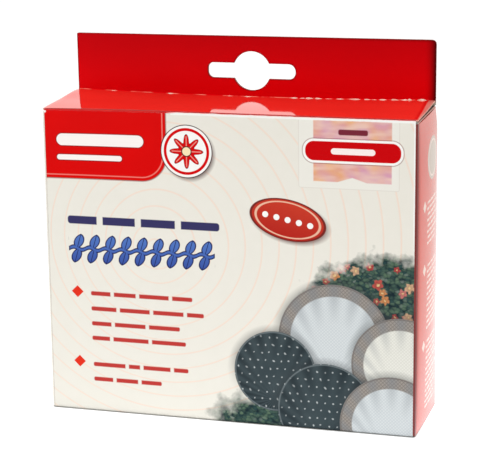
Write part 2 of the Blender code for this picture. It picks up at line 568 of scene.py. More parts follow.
def lid_height(x, y):
    far = smooth(-0.2 * HALF_DEPTH, LID_REACH, y)
    level = LID_TOP - sag(x) + BACK_RAISE * far * (x / HALF_WIDTH) ** 2
    level += LID_CROWN * (1.0 - (y / (HALF_DEPTH - CREASE)) ** 2)
    edge = max(abs(x) - (HALF_WIDTH - LID_ROLL_WIDTH), 0.0) / LID_ROLL_WIDTH
    return level - LID_ROLL * edge**2


def panel_point(name, t, z):
    """A point on a panel's face, t along it from its middle."""
    centre, along, out, half, bulge = PANELS[name]
    reach = half - CREASE
    across = 1.0 - (t / reach) ** 2
    tall = min(z / LID_TOP, 1.0)
    upright = (4.0 * tall * (1.0 - tall)) ** 0.35 if z < LID_TOP else 0.0
    if name in ("left", "right"):
        from_front = reach + t if name == "right" else reach - t
        roll = SIDE_ROLL * (1.0 - math.exp(-from_front / SIDE_ROLL_WIDTH))
        across += roll / bulge * (1.0 - from_front / (2 * reach))
    swell = bulge * across * upright
    x = centre[0] + along[0] * t + out[0] * swell
    y = centre[1] + along[1] * t + out[1] * swell
    if name == "front":
        z -= sag(x) * smooth(0.5, 1.0, tall)
    return Vector((x, y, z))


def crease_point(name, turn, z):
    """A point on the crease at a panel's right end. turn runs from 0 to a quarter circle."""
    centre, along, out, half, bulge = PANELS[name]
    reach = half - CREASE + CREASE * math.sin(turn)
    depth = CREASE * (math.cos(turn) - 1.0)
    x = centre[0] + along[0] * reach + out[0] * depth
    y = centre[1] + along[1] * reach + out[1] * depth
    return Vector((x, y, z))


HEADER_OVERHANG = 0.25 * MM
HEADER_SLANT = 0.45 * MM


def header_top(x):
    """The header's top edge: cut a little out of level, with two round corners."""
    radius = HEADER_RIGHT_RADIUS if x > 0 else HEADER_LEFT_RADIUS
    half = ply_high.x + (HEADER_OVERHANG if x > 0 else 0.0)
    past = max(abs(x) - (half - radius), 0.0)
    level = HEADER_TOP - HEADER_SLANT * (1.0 - x / HALF_WIDTH) / 2
    return level - radius + math.sqrt(max(radius**2 - past**2, 0.0))


def slot_points():
    """The hanging slot seen from the front: a round-ended bar through a round eye."""
    middle = LID_TOP + SLOT_ABOVE_LID
    half = SLOT_HEIGHT / 2
    join = math.asin(half / EYE_RADIUS)
    left, right = SLOT_LEFT_RADIUS, SLOT_RIGHT_RADIUS
    left_x, right_x = left - SLOT_LENGTH / 2, SLOT_LENGTH / 2 - right
    # Centre, radius, first angle, last angle, steps
    arcs = [
        ((0.0, middle), EYE_RADIUS, join, 2 * QUARTER - join, 30),
        ((left_x, middle + half - left), left, QUARTER, 2 * QUARTER, 8),
        ((left_x, middle - half + left), left, 2 * QUARTER, 3 * QUARTER, 8),
        ((0.0, middle), EYE_RADIUS, 2 * QUARTER + join, 4 * QUARTER - join, 30),
        ((right_x, middle - half + right), right, 3 * QUARTER, 4 * QUARTER, 8),
        ((right_x, middle + half - right), right, 0.0, QUARTER, 8),
    ]
    points = []
    for centre, radius, first, last, steps in arcs:
        for angle in spread(first, last, steps):
            points.append((centre[0] + radius * math.cos(angle), centre[1] + radius * math.sin(angle)))
    return points


def make_slot_cutter(low_y, high_y, kind):
    """A solid of the slot's shape. Its faces take the material slot that the cut edge has."""
    cage = bmesh.new()
    ring = [cage.verts.new((x, low_y, z)) for x, z in slot_points()]
    base = cage.faces.new(ring)
    grown = bmesh.ops.extrude_face_region(cage, geom=[base])["geom"]
    moved = [item for item in grown if isinstance(item, bmesh.types.BMVert)]
    bmesh.ops.translate(cage, vec=(0.0, high_y - low_y, 0.0), verts=moved)
    bmesh.ops.remove_doubles(cage, verts=cage.verts, dist=1e-7)
    bmesh.ops.recalc_face_normals(cage, faces=cage.faces)
    for face in cage.faces:
        face.material_index = kind
    return add_object("slot_cutter", mesh_from("slot_cutter", cage))


def make_front_panel(materials):
    board = Board("front_panel_board")
    half = HALF_WIDTH - CREASE
    rows = [CREASE] + spread(FIRST_ROW, FRONT_TOP, 44)

    def fold(x, turn):
        y = -HALF_DEPTH + CREASE - CREASE * math.sin(turn)
        z = CREASE - CREASE * math.cos(turn)
        return Vector((x, y, z)), (x + HALF_WIDTH, CREASE * (1.0 - QUARTER + turn))

    board.patch(fold, crowded(-half, half, 56), spread(0.0, QUARTER, 6))
    board.patch(
        lambda x, z: (panel_point("front", x, z), (x + HALF_WIDTH, z)),
        crowded(-half, half, 56),
        rows,
    )
    return board.piece(materials, "carton")


def make_bottom_flap(materials):
    """The bottom panel, folded in from the front panel's lower crease."""
    board = Board("bottom_flap_board")
    half = HALF_WIDTH - CREASE
    reach = HALF_DEPTH - BOARD - BOTTOM_INSET

    def flat(x, y):
        return Vector((x, y, 0.0)), (x + HALF_WIDTH, -CREASE - (y + HALF_DEPTH))

    board.patch(flat, crowded(-half, half, 40), spread(reach, -HALF_DEPTH + CREASE, 12))
    return board.piece(materials, "carton")


def make_wrap(materials):
    """The right, back and left panels with their creases. The back panel runs up as the header."""
    board = Board("wrap_board")
    low_rows = [FOOT] + spread(FIRST_ROW, SIDE_TOP, 40)
    turns = spread(0.0, QUARTER, 6)
    side_half = HALF_DEPTH - CREASE
    back_half = HALF_WIDTH - CREASE

    def side(name):
        def place(t, z):
            return panel_point(name, t, z), (t + HALF_DEPTH, z)

        return place

    def crease(name, onto_side):
        def place(turn, z):
            lowest = CREASE if name == "front" else FOOT
            share = turn / QUARTER
            if name == "left":
                share, lowest = 1.0 - share, CREASE
            height = z if z > FOOT else lowest + (FOOT - lowest) * share
            start = 0.0 if onto_side else 2 * HALF_DEPTH
            return crease_point(name, turn, height), (start + CREASE * (2 * turn / QUARTER - 1), z)

        return place

    board.patch(crease("front", True), turns, low_rows)
    board.patch(side("right"), crowded(-side_half, side_half, 24), low_rows)
    board.patch(crease("right", False), turns, low_rows)
    columns = crowded(-back_half, back_half, 56)

    def back(t, z):
        return panel_point("back", t, z), (HALF_WIDTH - t, z)

    board.patch(back, columns, low_rows, kind=1)
    header_half = ply_high.x

    def header(t, share):
        widest = header_half + (HEADER_OVERHANG if t < 0 else 0.0)
        x = t / back_half * (back_half + (widest - back_half) * min(share / NECK, 1.0))
        z = SIDE_TOP + share
        if share > NECK:
            low = SIDE_TOP + NECK
            z = low + (share - NECK) / (header_rows[-1] - NECK) * (header_top(-x) - low)
        return Vector((-x, HALF_DEPTH, z)), (HALF_WIDTH - t, z)

    header_rows = [0.0, NECK / 2, NECK] + spread(NECK, HEADER_TOP - SIDE_TOP, 12)[1:]
    board.patch(header, columns, header_rows, kind=3)
    board.patch(crease("back", True), turns, low_rows, kind=2)
    board.patch(side("left"), crowded(-side_half, side_half, 24), low_rows, kind=2)
    board.patch(crease("left", False), turns, low_rows, kind=2)
    kinds = 4
    cutter = make_slot_cutter(HALF_DEPTH - 3 * MM, HALF_DEPTH + 3 * MM, 3 * kinds - 1)
    made = board.piece(materials, "carton", kinds=kinds, cutter=cutter)
    bpy.data.objects.remove(cutter, do_unlink=True)
    return made


PLY_FACE = 16.85 * MM
PLY_THICKNESS = 0.6 * MM
PLY_FOOT_RADIUS = 0.45 * MM
PLY_SINK = 0.1 * MM


def make_header_ply(materials):
    """The header's front ply, which curves forward at its foot to the lid's perforated edge."""
    board = Board("header_front_board")
    half = ply_high.x
    foot_steps = spread(0.0, QUARTER, 5)

    def foot(x, turn):
        y = PLY_FACE - PLY_FOOT_RADIUS + PLY_FOOT_RADIUS * math.sin(turn)
        rise = PLY_FOOT_RADIUS * (1.0 - math.cos(turn))
        z = lid_height(x, LID_REACH) - PLY_SINK + rise
        return Vector((x, y, z)), (x + HALF_WIDTH, (turn / QUARTER - 1.0) * MM)

    def face(x, share):
        low = lid_height(x, LID_REACH) - PLY_SINK + PLY_FOOT_RADIUS
        z = low + (header_top(x) - low) * share
        return Vector((x, PLY_FACE, z)), (x + HALF_WIDTH, max(z - LID_TOP, 0.0))

    columns = crowded(-half, half + HEADER_OVERHANG, 64)
    board.patch(foot, columns, foot_steps)
    board.patch(face, columns, spread(0.0, 1.0, 16))
    cutter = make_slot_cutter(PLY_FACE - 2 * MM, PLY_FACE + 3 * MM, 2)
    made = board.piece(materials, "carton", thickness=PLY_THICKNESS, cutter=cutter)
    bpy.data.objects.remove(cutter, do_unlink=True)
    return made


def make_lid(materials):
    board = Board("lid_board")
    start = -HALF_DEPTH + CREASE

    def place(x, y):
        return Vector((x, y, lid_height(x, y))), (x + HALF_WIDTH, y + HALF_DEPTH)

    board.patch(place, crowded(-HALF_WIDTH, HALF_WIDTH, 72), spread(start, LID_REACH, 18))
    return board.piece(materials, "lid")


def make_lid_crease(materials):
    """The crease that the lid turns on. It follows the front panel below and the lid above."""
    board = Board("lid_crease_board")
    half = HALF_WIDTH - CREASE

    def place(x, turn):
        y = -HALF_DEPTH + CREASE * (1.0 - math.cos(turn))
        top = lid_height(x, -HALF_DEPTH + CREASE)
        z = top - CREASE + CREASE * math.sin(turn)
        return Vector((x, y, z)), (x + HALF_WIDTH, CREASE * (turn / QUARTER))

    board.patch(place, crowded(-half, half, 56), spread(0.0, QUARTER, 7))
    made = board.piece(materials, None)
    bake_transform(made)
    return made


# Where the perforation tore unevenly: start, end and the tallest fibre, in millimetres from the middle
TORN_STRETCHES = (
    (-53.0, -51.6, 0.55),
    (-31.5, -29.9, 0.45),
    (-9.0, -7.8, 0.50),
    (-2.6, -0.9, 0.55),
    (13.6, 25.0, 0.75),
    (27.0, 48.6, 0.60),
    (50.6, 57.6, 0.85),
    (59.6, 62.8, 0.95),
)


def make_torn_perforation(material):
    """Slivers of torn board that stand along the join of the lid and the header."""
    draws = random.Random(7)
    cage = bmesh.new()
    for start, end, tallest in TORN_STRETCHES:
        x = start
        while x < end:
            width = min(draws.uniform(1.6, 4.6), end - x + 0.8)
            height = tallest * draws.uniform(0.15, 0.7)
            lean = draws.uniform(0.1, 0.9)
            add_sliver(cage, draws, x, width, height, lean)
            x += width * draws.uniform(0.85, 1.5)
    bmesh.ops.recalc_face_normals(cage, faces=cage.faces)
    mesh = mesh_from("torn_perforation", cage)
    mesh.materials.append(material)
    mesh.shade_smooth()
    mesh.set_sharp_from_angle(angle=math.radians(50.0))
    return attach(add_object("torn_perforation", mesh), "carton")


def add_sliver(cage, draws, left, width, height, lean):
    """One sliver, in millimetres: a ragged ramp of fibres that rises backwards from the lid's edge."""
    steps = 10
    skew = draws.uniform(0.6, 1.7)
    rings = []
    for i in range(steps + 1):
        x = (left + width * i / steps) * MM
        share = math.sin(math.pi * ((i + 0.3) / (steps + 0.6)) ** skew) * draws.uniform(0.8, 1.0)
        rise = height * MM * share
        back = LID_REACH + (0.18 - lean * 0.5 * share) * MM
        low = lid_height(x, back)
        front = back - (0.08 + 0.26 * share) * MM
        corners = (
            (x, front, low - 0.02 * MM),
            (x, back - 0.02 * MM, low + rise),
            (x, back + 0.10 * MM, low + rise - 0.05 * MM),
            (x, back + 0.12 * MM, low - 0.05 * MM),
        )
        rings.append([cage.verts.new(out_of_square(Vector(corner))) for corner in corners])
    for before, after in zip(rings, rings[1:]):
        for i in range(4):
            j = (i + 1) % 4
            cage.faces.new((before[i], before[j], after[j], after[i]))
    cage.faces.new(rings[0])
    cage.faces.new(rings[-1])


FLAP_LENGTH = 26.0 * MM
FLAP_TAPER = 15.0 * MM
FLAP_CORNER = 3.0 * MM
FLAP_GAP = 0.4 * MM


def make_dust_flap(materials, name, side):
    """A flap under the lid. side is -1 on the left and 1 on the right."""
    board = Board(name + "_board")
    low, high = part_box(name)
    root = HALF_WIDTH - CREASE
    tip = FLAP_LENGTH - (CREASE - 2 * FLAP_GAP)
    front, back = low.y, high.y

    def ends(a):
        past = max(a - (tip - FLAP_CORNER), 0.0)
        rounding = FLAP_CORNER - math.sqrt(max(FLAP_CORNER**2 - past**2, 0.0))
        return front + FLAP_TAPER * a / tip + rounding, back - rounding

    def place(a, b):
        near, far = ends(a)
        y = near + (far - near) * b
        x = side * (root - a)
        return Vector((x, y, WALL_TOP)), (a, y + HALF_DEPTH)

    columns = spread(0.0, tip - FLAP_CORNER, 10) + crowded(tip - FLAP_CORNER, tip, 12)[1:]
    rows = spread(0.0, 1.0, 12)
    board.patch(place, columns, rows if side < 0 else rows[::-1])
    return board.piece(materials, "left_flap" if side < 0 else "right_flap")


def make_flap_crease(materials, name, side):
    board = Board(name + "_crease_board")
    low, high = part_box(name)

    def place(turn, y):
        x = side * (HALF_WIDTH - CREASE + CREASE * math.cos(turn))
        z = SIDE_TOP + CREASE * math.sin(turn)
        return Vector((x, y, z)), (CREASE * turn / QUARTER, y + HALF_DEPTH)

    rows = spread(low.y, high.y, 12)
    board.patch(place, spread(0.0, QUARTER, 6), rows[::-1] if side > 0 else rows)
    made = board.piece(materials, None)
    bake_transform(made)
    return made


# The print. Distances are in millimetres from the panel's lower left corner.

EVEN_LIGHT = 1.08
FIRST_SURFACE = 0.003


def printed(red, green, blue):
    """The colour to print so that it looks like this in the studio's light, given as 0 to 255."""
    return tuple(max(c - FIRST_SURFACE, 0.0) / EVEN_LIGHT for c in srgb(red, green, blue))


PAPER = printed(233, 231, 222)
WHITE = printed(250, 250, 248)
RING = printed(240, 222, 208)
RED = printed(212, 8, 14)
DEEP_RED = printed(140, 26, 28)
BAR_RED = printed(190, 62, 58)
NAVY = printed(58, 56, 100)
SIDE_RED = (0.66, 0.050, 0.028)
SIDE_RED_DEEP = (0.60, 0.036, 0.020)
# Painted shade at the side panels' front crease.
SIDE_CREASE_SHADE = (0.16, 0.006, 0.005)
SIDE_WHITE = (0.80, 0.60, 0.54)
SIDE_GREY = (0.48, 0.40, 0.34)
LID_RED = (0.90, 0.034, 0.024)
LID_RED_DEEP = (0.85, 0.026, 0.018)
HEADER_RED = (0.52, 0.0, 0.003)
# Painted shade at the header's edges and round its slot.
HEADER_EDGE_SHADE = (0.07, 0.0, 0.001)
# The header's red at its foot, lighter than at its top: painted light.
HEADER_RED_LIT_LOW = (0.84, 0.0, 0.003)


def draw_rings(ink, colour):
    """Faint rings about a point on the upper left, drifting right and down as they grow."""
    centre, drift, pitch, half_line = (40.0, 62.0), (0.08, 0.07), 5.5, 0.24
    x, y = ink.u - centre[0], ink.v - centre[1]
    radius = ink.length(x, y) - x * drift[0] - y * drift[1]
    line = abs(radius % pitch - pitch / 2) - half_line
    return ink.paint(colour, RING, line, 0.35)


def draw_corner_tab(ink, colour):
    """A red tab in the upper left corner, with two plain white bars."""
    x, y = ink.u - 16.0, ink.v - 104.0
    tab = ink.slab(x, y, 29.0, 18.4, 9.0)
    tone = ink.noise(0.05, 1.0)
    red = ink.mix(printed(226, 2, 6), printed(212, 2, 7), tone)
    colour = ink.paint(colour, printed(150, 70, 66), tab - 0.35, 0.5)
    colour = ink.paint(colour, red, tab)
    rim = abs(tab + 1.1) - 0.22
    colour = ink.paint(colour, printed(236, 120, 112), rim)
    for left, right, middle, height in ((5.0, 37.0, 99.3, 4.2), (5.0, 29.0, 93.0, 1.9)):
        bar = ink.bar(left, right, middle, height)
        colour = ink.paint(colour, DEEP_RED, bar - 0.3, 0.3)
        colour = ink.paint(colour, printed(252, 246, 244), bar)
    return colour


def draw_medallion(ink, colour):
    """A white disc with a red ring and a flower of eight petals, with a soft shadow."""
    centre, radius = (52.5, 96.5), 9.0
    shadow = ink.disc((centre[0] + 0.9, centre[1] - 1.0), radius)
    colour = ink.mix(colour, printed(92, 60, 60), ink.cover(shadow, 1.6) * 0.75)
    disc = ink.disc(centre, radius)
    colour = ink.paint(colour, printed(58, 30, 34), disc - 0.3)
    colour = ink.paint(colour, WHITE, disc)
    ring = abs(disc + 1.35) - 0.5
    colour = ink.paint(colour, RED, ring)
    x, y = ink.u - centre[0], ink.v - centre[1]
    angle = ink.math("ARCTAN2", y, x)
    petals = ink.length(x, y) - 4.3 - ink.math("COSINE", angle * 8.0) * 1.5
    colour = ink.paint(colour, printed(88, 40, 44), petals - 0.25)
    colour = ink.paint(colour, RED, petals)
    veins = abs(ink.math("SINE", angle * 4.0)) * ink.length(x, y) * 0.25 - 0.16
    veins = ink.most(veins, petals + 0.5)
    colour = ink.paint(colour, printed(240, 150, 140), veins, 0.2)
    colour = ink.paint(colour, printed(60, 34, 38), ink.disc(centre, 1.85))
    return ink.paint(colour, printed(250, 232, 190), ink.disc(centre, 1.5))


def bar_row(ink, left, right, middle, height, bars, gap, seed):
    """A row of plain bars of uneven lengths."""
    draws = random.Random(seed)
    lengths = [draws.uniform(0.5, 1.5) for _ in range(bars)]
    scale = (right - left - gap * (bars - 1)) / sum(lengths)
    row = ink.slab(
        ink.u - (left + right) / 2, ink.v - middle, (right - left) / 2, height / 2, height * 0.35
    )
    at = left
    nearest = None
    for length in lengths[:-1]:
        at += length * scale + gap
        space = abs(ink.u - (at - gap / 2))
        nearest = space if nearest is None else ink.least(nearest, space)
    return row if nearest is None else ink.most(row, gap / 2 - nearest)


# Left end, right end, middle height, bar height, bars
WIDE_ROW = (8.2, 63.8, 70.4, 2.9, 4)
BAR_ROWS = (
    (16.0, 53.5, 43.8, 1.55, 4),
    (16.0, 57.6, 38.2, 1.55, 4),
    (16.0, 48.7, 32.7, 1.55, 3),
    (16.0, 50.8, 27.3, 1.55, 3),
    (16.2, 51.5, 17.5, 1.55, 4),
    (16.2, 41.5, 12.0, 1.55, 3),
)
BULLETS = ((11.0, 44.2), (11.0, 18.3))


def draw_bar_rows(ink, colour):
    left, right, middle, height, bars = WIDE_ROW
    row = bar_row(ink, left, right, middle, height, bars, 2.2, 5)
    colour = ink.paint(colour, NAVY, row, 0.25)
    for seed, (left, right, middle, height, bars) in enumerate(BAR_ROWS):
        row = bar_row(ink, left, right, middle, height, bars, 1.3, 11 + seed)
        colour = ink.paint(colour, BAR_RED, row, 0.3)
    for centre in BULLETS:
        bullet = ink.rhombus(centre, 2.2, 2.2)
        colour = ink.paint(colour, printed(226, 52, 34), bullet)
    return colour


def draw_garland(ink, colour):
    """A wide band of blue leaves on a stem."""
    left, right, middle, half_height, pitch = 8.7, 61.6, 60.0, 5.0, 5.88
    inside = ink.slab(
        ink.u - (left + right) / 2, ink.v - middle, (right - left) / 2, half_height + 0.4, 1.0
    )
    cell = (ink.u - left) % pitch - pitch / 2
    y = ink.v - middle
    wave = ink.math("SINE", (ink.u - left) * (2 * math.pi / pitch)) * 0.5
    stem = abs(y - wave) - 0.42
    garland = stem
    for sign in (1, -1):
        x_leaf = cell - sign * 0.5 - (y - sign * 2.6) * 0.30
        y_leaf = y * sign - 2.6
        long_way, wide_way = 2.3, 1.5
        offset = (long_way**2 - wide_way**2) / (2 * wide_way)
        bow = offset + wide_way
        leaf = ink.most(
            ink.length(x_leaf + offset, y_leaf) - bow, ink.length(x_leaf - offset, y_leaf) - bow
        )
        vein = ink.most(0.14 - abs(x_leaf), leaf)
        garland = ink.least(garland, vein)
    garland = ink.most(garland, inside)
    colour = ink.paint(colour, printed(40, 44, 92), garland - 0.42)
    shade = (y / (2 * half_height)) + 0.5
    fill = ink.mix(printed(60, 84, 164), printed(84, 122, 198), shade)
    return ink.paint(colour, fill, garland)


def draw_badge(ink, colour):
    """A tilted red oval with a pale ring and a row of dots."""
    centre, tilt = (88.0, 74.3), 12.0
    x, y = ink.turned(ink.u, ink.v, centre, -tilt)
    shadow = ink.ellipse(x - 1.0, y + 0.7, 13.6, 7.2)
    colour = ink.mix(colour, printed(110, 70, 66), ink.cover(shadow, 1.3) * 0.7)
    oval = ink.ellipse(x, y, 13.3, 7.0)
    colour = ink.paint(colour, printed(120, 44, 40), oval - 0.15)
    glow = ink.ramp(y, 0.06, 0.5)
    red = ink.mix(printed(176, 34, 30), printed(204, 66, 48), glow)
    colour = ink.paint(colour, red, oval + 0.3)
    ring = abs(oval + 1.0) - 0.22
    colour = ink.paint(colour, printed(236, 186, 160), ring)
    spacing, count = 4.0, 5
    along = ink.most(ink.least(x, spacing * (count - 1) / 2), -spacing * (count - 1) / 2)
    steps = ink.math("ROUND", along / spacing)
    dots = ink.length(x - steps * spacing, y) - 1.05
    return ink.paint(colour, WHITE, dots)


def draw_ribbon(ink, colour):
    """A ribbon in washes of pink and orange hangs from the top edge, with a notch cut in its end."""
    left, right, top, bottom, notch = 97.0, 123.5, 109.6, 88.3, 1.6
    middle = (left + right) / 2
    sides = abs(ink.u - middle) - (right - left) / 2
    end = ink.most(notch - abs(ink.u - middle) * (notch / 5.0), 0.0) + bottom
    ribbon = ink.most(sides, ink.most(end - ink.v, ink.v - top))
    wash = ink.noise(0.09, 2.0, z=4.0)
    streak = ink.noise(0.30, 1.0, x=ink.u * 0.5, y=ink.v * 1.6, z=9.0)
    warm = ink.ramp(wash, 5.0, -2.0)
    pale = ink.ramp(streak, 3.0, -1.1)
    fill = ink.mix(printed(216, 160, 182), printed(233, 172, 122), warm)
    fill = ink.mix(fill, printed(238, 206, 190), pale * 0.75)
    colour = ink.paint(colour, fill, ribbon, 0.3)
    small = bar_row(ink, 105.5, 115.5, 105.2, 1.9, 1, 1.0, 3)
    colour = ink.paint(colour, printed(120, 44, 60), small, 0.3)
    pill = ink.bar(94.2, 126.6, 98.7, 6.6, 3.0)
    colour = ink.mix(colour, printed(130, 60, 60), ink.cover(pill - 1.1, 0.3) * 0.6)
    colour = ink.paint(colour, WHITE, pill - 0.8)
    colour = ink.paint(colour, printed(204, 5, 16), pill)
    return ink.paint(colour, printed(252, 240, 238), ink.bar(103.0, 118.0, 98.7, 2.1))


def mesh_cloth(ink, base, line, pitch):
    """Fine netting: two sets of slanting threads."""
    one = abs((ink.u + ink.v) % pitch - pitch / 2)
    two = abs((ink.u - ink.v) % pitch - pitch / 2)
    threads = ink.cover(ink.least(one, two) - 0.13, 0.25)
    return ink.mix(base, line, threads * 0.7)


def dotted_cloth(ink):
    """Slate cloth with small white dots in staggered rows."""
    pitch = 2.8
    row = ink.math("FLOOR", ink.v / pitch)
    shifted = ink.u + (row % 2.0) * (pitch / 2)
    jitter = (ink.noise(0.35, 1.0, z=8.0) - 0.5) * 1.6
    dots = ink.length(shifted % pitch - pitch / 2 + jitter, ink.v % pitch - pitch / 2 - jitter) - 0.26
    tone = ink.mix(printed(48, 60, 66), printed(78, 90, 94), ink.noise(0.09, 2.0, z=14.0))
    return ink.paint(tone, printed(196, 204, 206), dots, 0.35)


def draw_garden(ink, colour):
    """A bed of dark leaves with small blossoms, fading out into the paper."""
    ragged = (ink.noise(0.22, 4.0, z=2.0) - 0.5) * 13.0
    bed = ink.ellipse(ink.u - 122.0, ink.v - 38.0, 31.0, 25.0) + ragged
    low = ink.ellipse(ink.u - 84.0, ink.v - 2.0, 22.0, 9.0) + ragged * 0.7
    inside = ink.cover(ink.least(bed, low), 4.5)
    leaves = ink.node("ShaderNodeTexVoronoi", feature="F1")
    leaves.inputs["Scale"].default_value = 0.75
    wobble = ink.noise(0.5, 2.0, z=11.0) * 1.5
    ink.tree.links.new(ink.point(ink.u + wobble, ink.v * 1.3 - wobble), leaves.inputs["Vector"])
    shade = Field(ink, leaves.outputs["Distance"])
    parts = ink.node("ShaderNodeSeparateColor")
    ink.tree.links.new(leaves.outputs["Color"], parts.inputs[0])
    hue, light = Field(ink, parts.outputs[0]), Field(ink, parts.outputs[1])
    leaf = ink.mix(printed(44, 70, 72), printed(92, 116, 96), light)
    leaf = ink.mix(leaf, printed(120, 134, 126), ink.ramp(hue, 4.0, -3.2))
    leaf = ink.mix(leaf, printed(30, 46, 52), ink.ramp(shade, 1.6, -0.5))
    bed_colour = leaf
    # Petal colours of the blossoms, the commonest twice
    shades = (
        (196, 70, 72),
        (206, 92, 84),
        (226, 150, 96),
        (196, 70, 72),
        (222, 130, 126),
        (232, 186, 150),
    )
    draws = random.Random(23)
    blur_u = ink.u + (ink.noise(0.8, 2.0, z=17.0) - 0.5) * 1.4
    blur_v = ink.v + (ink.noise(0.8, 2.0, z=19.0) - 0.5) * 1.4
    for number in range(24):
        along = (number % 12 + draws.uniform(0.1, 0.9)) / 12
        x = 96.0 + 36.0 * along
        low = 40.0 if number < 12 else 49.0
        y = low + draws.uniform(-5.0, 5.0) + 6.0 * math.sin(math.pi * (0.15 + 0.6 * along))
        radius = draws.uniform(1.0, 2.1)
        dark = printed(*(int(c * 0.70) for c in shades[number % 6]))
        dx, dy = blur_u - x, blur_v - y
        far = ink.length(dx, dy)
        turn = draws.uniform(0.0, 3.0)
        petals = ink.math("COSINE", ink.math("ARCTAN2", dy, dx) * 5.0 + turn) * (radius * 0.13)
        flower = far - petals - radius * 0.8
        petal = ink.mix(dark, printed(*shades[number % 6]), far / radius)
        bed_colour = ink.mix(bed_colour, petal, ink.cover(flower, 0.5) * 0.92)
        bed_colour = ink.mix(bed_colour, printed(236, 206, 150), ink.cover(far - radius * 0.22, 0.4) * 0.8)
    return ink.mix(colour, bed_colour, inside)


# The fans of cloth, the furthest first: centre, radius and cloth
FANS = (
    ((104.0, 33.0), 19.5, "pale"),
    ((127.0, 25.0), 17.0, "cream"),
    ((83.0, 20.0), 14.5, "slate"),
    ((101.0, 7.0), 17.0, "slate"),
    ((124.0, 3.0), 18.0, "pale"),
)


def draw_picture(ink, colour):
    """Large pleated fans of net and dotted cloth stand in front of a bed of blossoms."""
    scene = draw_garden(ink, colour)
    pale = mesh_cloth(ink, printed(216, 222, 224), printed(184, 194, 202), 1.15)
    cream = mesh_cloth(ink, printed(232, 233, 226), printed(206, 206, 198), 1.15)
    border = mesh_cloth(ink, printed(158, 152, 146), printed(104, 98, 94), 1.3)
    slate = dotted_cloth(ink)
    for centre, radius, cloth in FANS:
        distance = ink.disc(centre, radius)
        drop = ink.ramp(ink.v - centre[1], 1.0 / radius, 0.6)
        shadow = ink.cover(distance - 1.0, 3.4) * 0.6
        scene = ink.mix(scene, printed(56, 62, 66), ink.math("MULTIPLY", shadow, drop))
        x, y = ink.u - centre[0], ink.v - (centre[1] - radius * 0.7)
        pleats = ink.math("COSINE", ink.math("ARCTAN2", x, y) * 26.0)
        rim = ink.ramp(distance, 1.6 / radius, 1.15)
        folds = ink.math("MULTIPLY_ADD", pleats, 0.5, 0.5) * rim
        if cloth == "slate":
            fill = ink.mix(slate, printed(26, 34, 40), folds * 0.55)
            hem_colour = printed(120, 130, 134)
        else:
            inner = pale if cloth == "pale" else cream
            fill = ink.paint(inner, border, -4.2 - distance, 0.4)
            fill = ink.mix(fill, printed(126, 134, 142), folds * 0.45)
            hem_colour = printed(112, 106, 102)
        scene = ink.paint(scene, fill, distance, 0.25)
        hem = abs(distance + 0.35) - 0.2
        scene = ink.mix(scene, hem_colour, ink.cover(hem, 0.4) * 0.8)
    return scene


def wave_height(ink, seed):
    """Slow unevenness of the board's face, with a faint fine grain."""
    slow = ink.noise(0.03, 1.0, z=seed)
    fine = ink.noise(1.6, 2.0, z=seed + 3.0)
    return slow + fine * 0.004


def front_print():
    ink = Ink("front_print")
    ink.print_coordinates()
    mottle = ink.noise(0.25, 2.0, z=1.0)
    colour = ink.mix(PAPER, printed(236, 234, 226), mottle)
    colour = draw_rings(ink, colour)
    plate = ink.slab(ink.u - 109.0, ink.v - 98.0, 17.0, 12.0, 0.6)
    colour = ink.paint(colour, printed(226, 222, 214), plate - 0.15, 0.2)
    colour = ink.paint(colour, printed(237, 236, 229), plate + 0.1)
    colour = draw_corner_tab(ink, colour)
    colour = draw_medallion(ink, colour)
    colour = draw_bar_rows(ink, colour)
    colour = draw_garland(ink, colour)
    colour = draw_badge(ink, colour)
    colour = draw_ribbon(ink, colour)
    colour = draw_picture(ink, colour)
    colour = front_margins(ink, colour)
    ink.bump(wave_height(ink, 0.0), 0.25, 0.0004)
    return ink.finish(colour=colour, roughness=0.28, ior=1.12)


def front_margins(ink, colour):
    """A clean white margin along the top past the tab and down the right, a grey line of painted shade
    down the left edge, and a worn corner.
    """
    past_tab = ink.ramp(ink.u - 47.0, 4.0, 0.5)
    unevenness = (ink.noise(0.4, 3.0, z=6.0) - 0.5) * 0.3
    top = HEIGHT_MM - 1.15 - ink.v + unevenness
    colour = ink.mix(colour, WHITE, ink.cover(top, 0.3) * past_tab)
    right = WIDTH_MM - 1.15 - ink.u + unevenness
    upper = ink.ramp(ink.v, 0.06, -3.6)
    colour = ink.mix(colour, WHITE, ink.cover(right, 0.3) * upper)
    # A grey line down the left edge: painted shade where the crease turns away from the light.
    left = ink.u - 0.85 + unevenness
    colour = ink.mix(colour, printed(140, 122, 116), ink.cover(left, 0.25) * 0.55)
    corner = ink.length(ink.u - 0.9, ink.v - HEIGHT_MM + 1.0) - 0.5 + unevenness
    return ink.paint(colour, WHITE, corner, 0.3)


